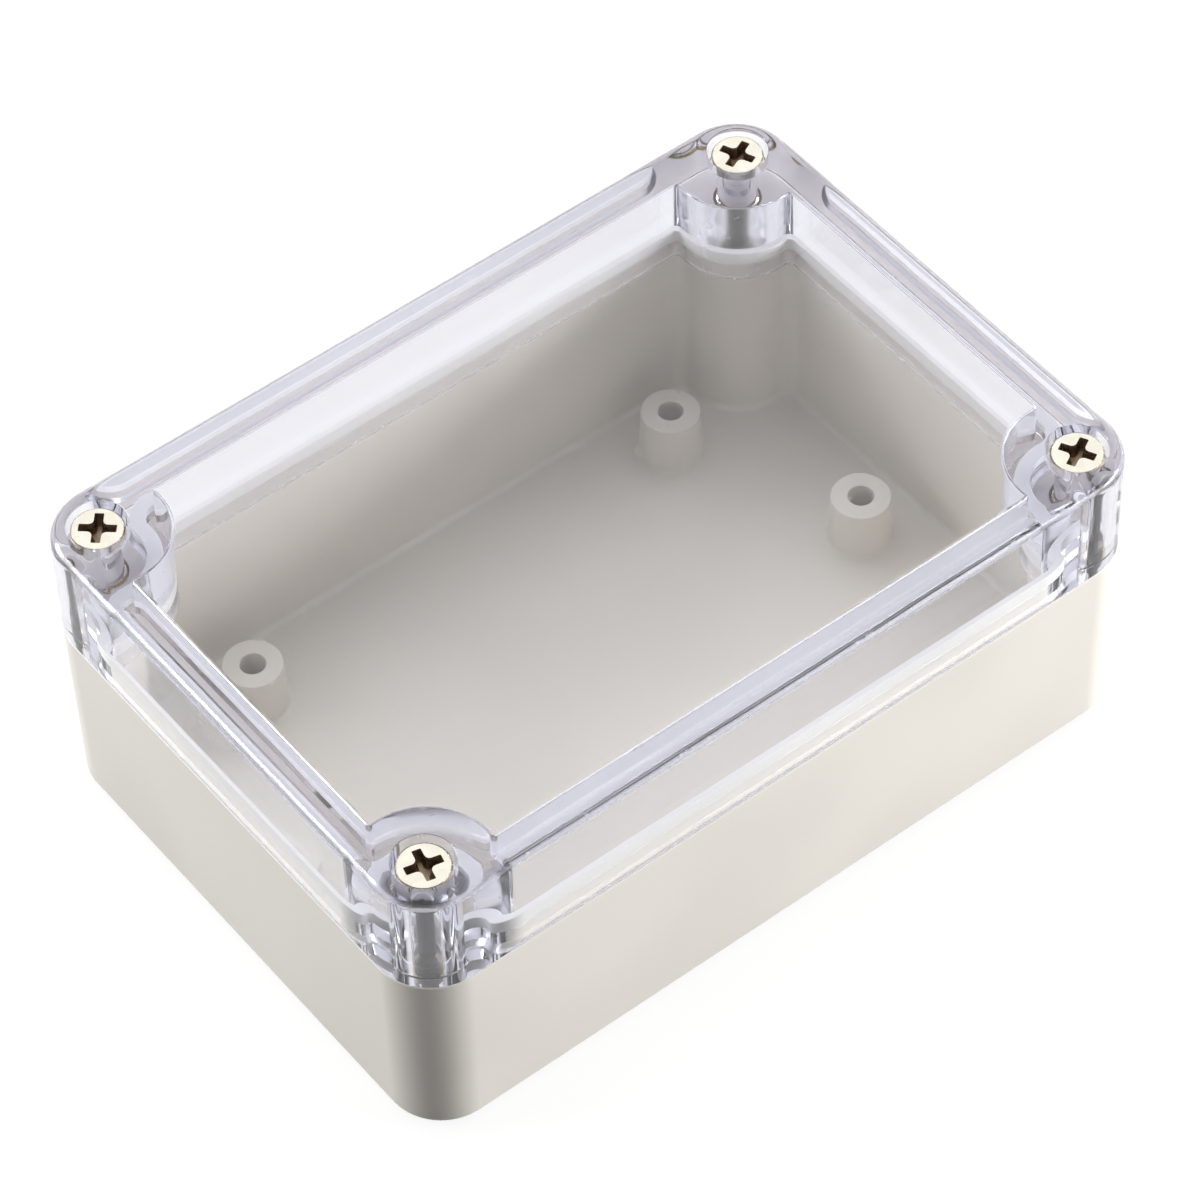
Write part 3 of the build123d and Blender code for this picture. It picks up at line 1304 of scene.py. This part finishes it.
        # The thread and point take the shank's painted shade
        return [patch.dressed(ScrewPart.PAINTED_SHANK_SHADE) for patch in (surface, flat_end)]

    def build(self) -> None:
        """Makes, dresses and ties the screw."""
        name = "screw_" + self.corner.label
        piece = make_piece(name + "_machined", [*self.head(), *self.thread()], self.materials)
        finish_piece(piece, name, Slot.STEEL, name)


@dataclass
class ThreadedInsert:
    """Knurled brass insert in a corner post, with a waist and a threaded bore."""

    plan: BoxPlan
    corner: Corner
    material: bpy.types.Material
    top: float = 25.1
    length: float = 7.0
    radius: float = 2.79
    knurl_depth: float = 0.14
    knurls: int = 36
    waist_depth: float = 0.4
    waist_length: float = 1.6
    chamfer: float = 0.3
    bore_radius: float = 2.0
    bore_groove: float = 0.25
    thread_pitch: float = 0.7
    outside_rows: int = 56
    waist_edge: float = 0.15
    steps: int = 144

    def outside(self) -> tuple[np.ndarray, Patch]:
        """Knurled outside: the radius is a triangle wave round the axis, less waist and chamfers.

        Returns:
            Its points, rows by columns by three, and the surface.
        """
        bottom, middle = self.top - self.length, self.top - self.length / 2
        height, around = rows_and_turns(self.top, bottom, self.outside_rows, self.steps)
        into_waist = (self.waist_length / 2 - np.abs(height - middle)) / self.waist_edge
        in_waist = np.clip(into_waist + 0.5, 0.0, 1.0)
        low_end = np.clip(1 - (height - self.top + self.length) / self.chamfer, 0.0, 1.0)
        high_end = np.clip(1 - (self.top - height) / self.chamfer, 0.0, 1.0)
        wave = triangle_wave(around * self.knurls)
        radius = self.radius - self.knurl_depth * wave - self.waist_depth * in_waist
        radius = radius - self.chamfer * np.maximum(low_end, high_end)
        return about_axis(self.plan.screw_place(self.corner), radius, height, around)

    def inside(self) -> tuple[np.ndarray, Patch]:
        """Bore: a helical groove in a plain bore, faded out at both ends.

        Returns:
            Its points, rows by columns by three, and the surface.
        """
        rows = int(self.length / self.thread_pitch * ROWS_A_TURN)
        height, around = rows_and_turns(self.top, self.top - self.length, rows, self.steps)
        wave = triangle_wave(height / self.thread_pitch - around)
        near_end = np.minimum(self.top - height, height - self.top + self.length)
        fade = np.clip(near_end / self.thread_pitch * 2, 0.0, 1.0)
        radius = self.bore_radius + self.bore_groove * (1 - wave) * fade
        return about_axis(self.plan.screw_place(self.corner), radius, height, around, sense=-1)

    def build(self) -> None:
        """Makes, dresses and ties the insert."""
        (outer, outside), (inner, inside) = self.outside(), self.inside()
        patches = [outside, inside]
        for row, facing in ((0, 1), (-1, -1)):
            height = float(outer[row, 0, 2])
            patches.append(level(height, facing, outer[row, :, :2], [inner[row, :, :2]]))
        name = "insert_" + self.corner.label
        piece = make_piece(name + "_turned", patches, [self.material])
        finish_piece(piece, "base", Slot.BRASS, name)


# ---- the studio ----


def direction(azimuth: float, lift: float) -> tuple[float, float, float]:
    """Unit vector at an azimuth from +X and a lift above the floor, both in degrees."""
    turn, rise = math.radians(azimuth), math.radians(lift)
    return math.cos(turn) * math.cos(rise), math.sin(turn) * math.cos(rise), math.sin(rise)


@dataclass(frozen=True)
class Softbox:
    """Rectangular lamp aimed at the middle of the box.

    The turn from the camera's side and the lift above the floor are in degrees, the size and
    the distance in metres, and the power in watts.
    """

    name: str
    turn: float
    lift: float
    size: tuple[float, float]
    power: float
    distance: float = 0.7

    def hang(self, view_azimuth: float) -> None:
        """Adds the lamp, aimed at the middle of the box.

        Args:
            view_azimuth: Direction in plan from the box to the camera, degrees from +X.
        """
        light = bpy.data.lights.new(self.name, "AREA")
        light.shape = "RECTANGLE"
        light.size, light.size_y = self.size
        light.energy = self.power
        way = Vector(direction(view_azimuth + self.turn, self.lift))
        lamp = bpy.data.objects.new(self.name, light)
        aim = way.to_track_quat("Z", "Y").to_matrix().to_4x4()
        lamp.matrix_world = Matrix.Translation(way * self.distance) @ aim
        bpy.context.collection.objects.link(lamp)


@dataclass
class Studio:
    """Pale floor, a low softbox on each side, a sky that is brighter behind the box, and camera."""

    camera_yaw: float = -36.73
    camera_pitch: float = 50.17
    camera_roll: float = -1.89
    camera_distance: float = 609.66
    camera_offset: tuple[float, float] = (-0.33, 13.53)
    focal_pixels: float = 5372.0
    frame_pixels: float = 1200.0
    sensor: float = 36.0
    clip: tuple[float, float] = (0.01, 20.0)
    floor_size: float = 6.0
    floor_drop: float = 0.05
    paper: Finish = field(default_factory=StudioPaper)
    softboxes: tuple[Softbox, ...] = (
        Softbox("softbox_left", turn=-95.0, lift=15.0, size=(0.42, 0.32), power=4.35),
        Softbox("softbox_right", turn=84.0, lift=9.0, size=(0.42, 0.18), power=6.35),
    )
    sky_front: float = 0.03
    sky_back: float = 2.6
    sky_rise: float = 48.0
    sky_edge: float = 0.5
    sky_seen: float = 1.0
    sky_seen_front: float = 0.72
    sky_seen_edge: tuple[float, float] = (-0.9, 0.0)
    light_threshold: float = 0.05
    bounces: int = 8
    clear_bounces: int = 24

    def camera(self) -> None:
        """Camera at the photograph's angle: turned by yaw, tipped by pitch and rolled."""
        yaw, pitch, roll = np.radians((self.camera_yaw, self.camera_pitch, self.camera_roll)).tolist()
        ahead = np.array([
            -math.sin(yaw) * math.cos(pitch), math.cos(yaw) * math.cos(pitch), -math.sin(pitch),
        ])
        level_right = np.array([math.cos(yaw), math.sin(yaw), 0.0])
        level_up = np.cross(level_right, ahead)
        right = math.cos(roll) * level_right + math.sin(roll) * level_up
        up = math.cos(roll) * level_up - math.sin(roll) * level_right
        across, down = self.camera_offset
        place = -right * across + up * down - ahead * self.camera_distance
        lens = bpy.data.cameras.new("photo_camera")
        lens.sensor_fit = "HORIZONTAL"
        lens.sensor_width = self.sensor
        lens.lens = self.focal_pixels * self.sensor / self.frame_pixels
        lens.clip_start, lens.clip_end = self.clip
        camera = bpy.data.objects.new("photo_camera", lens)
        turn = Matrix((right, up, -ahead)).transposed().to_4x4()
        camera.matrix_world = Matrix.Translation(Vector(place * MILLIMETRE)) @ turn
        bpy.context.collection.objects.link(camera)
        bpy.context.scene.camera = camera

    @property
    def view_azimuth(self) -> float:
        """Direction in plan from the box to the camera, in degrees from +X."""
        return self.camera_yaw - 90.0

    def sky(self) -> None:
        """World light: dim from the camera's side, stronger from behind and above, seen as white."""
        world = bpy.data.worlds.new("studio_sky")
        world.use_nodes = True
        sheet = Sheet(world.node_tree)
        behind = direction(self.view_azimuth + 180.0, self.sky_rise)
        place = sheet.add("ShaderNodeTexCoord").outputs["Generated"]
        along = sheet.vector("DOT_PRODUCT", place, behind)
        light = sheet.ramp(along, self.sky_edge, 1.0, self.sky_front, self.sky_back)
        shown = sheet.ramp(along, *self.sky_seen_edge, self.sky_seen_front, self.sky_seen)
        picked = sheet.add("ShaderNodeMix", {0: sheet.seen_ray(), 2: light, 3: shown}, data_type="FLOAT")
        background = sheet.add("ShaderNodeBackground", {"Color": WHITE, "Strength": picked.outputs[0]})
        sheet.add("ShaderNodeOutputWorld", {"Surface": background.outputs[0]})
        bpy.context.scene.world = world

    def floor(self) -> None:
        """Floor just under the box, as one large sheet of paper."""
        half, height = self.floor_size / 2, -self.floor_drop * MILLIMETRE
        mesh = bpy.data.meshes.new("studio_floor")
        corners = [(half * x, half * y, height) for x, y in ((-1, -1), (1, -1), (1, 1), (-1, 1))]
        mesh.from_pydata(corners, [], [(0, 1, 2, 3)])
        mesh.materials.append(self.paper.material())
        sheet = bpy.data.objects.new("studio_floor", mesh)
        bpy.context.collection.objects.link(sheet)

    def build(self) -> None:
        """Sets up the whole studio."""
        self.camera()
        for softbox in self.softboxes:
            softbox.hang(self.view_azimuth)
        self.sky()
        self.floor()
        scene = bpy.context.scene
        scene.view_settings.view_transform = "Standard"
        scene.cycles.light_sampling_threshold = self.light_threshold
        scene.cycles.max_bounces = self.bounces
        scene.cycles.transmission_bounces = self.bounces
        scene.cycles.transparent_max_bounces = self.clear_bounces


def main() -> None:
    """Builds the box and its studio."""
    logging.basicConfig(level=logging.INFO, format="%(name)s: %(message)s")
    plan = BoxPlan()
    moulding, scuffs = moulding_group(), scuff_group()
    axis = tuple(plan.screw_axis)
    tub_finish = MouldedPlastic(
        "tub_abs", (0.76, 0.725, 0.665), roughness=0.42, grain_size=0.00022, grain_depth=0.0000045,
        moulding=moulding, scuffs=scuffs,
    )
    seal_finish = MouldedPlastic(
        "seal_silicone", (0.86, 0.86, 0.83), roughness=0.5, grain_size=0.0004, grain_depth=0.000002,
        moulding=moulding, scuffs=scuffs,
    )
    lid_finish = ClearPlastic(
        "lid_polycarbonate", tint=(0.994, 0.995, 1.0), body=(0.54, 0.54, 0.70), density=48.0,
        wave_size=0.007, wave_depth=0.000012, fleck_size=0.0016, axis=axis, moulding=moulding,
    )
    *screw_metals_and_shades, brass = (
        BrightMetal(name, colour, roughness, axis, moulding, scuffs).material()
        for name, colour, roughness in (
            ("screw_nickel", (0.95, 0.91, 0.79), 0.22),
            # Painted shade: dark brown that stands in for the shade and dark reflections in the cross
            # recess and the rim's gap
            ("recess_painted_shade", (0.30, 0.23, 0.17), 0.3),
            # Painted shade: near black for the shadowed bore round the shank and thread
            ("shank_painted_shade", (0.045, 0.041, 0.038), 0.36),
            ("insert_brass", (0.83, 0.66, 0.36), 0.25),
        )
    )
    Tub(plan, tub_finish).build()
    ClearLid(plan, lid_finish).build()
    GasketRing(plan, seal_finish).build()
    turns = {Corner.FRONT: 75.5, Corner.RIGHT: 27.5, Corner.BACK: 23.7, Corner.LEFT: 48.6}
    for corner, turn in turns.items():
        CornerScrew(plan, corner, turn, screw_metals_and_shades).build()
        ThreadedInsert(plan, corner, brass).build()
    Studio().build()


if __name__ == "__main__":
    main()
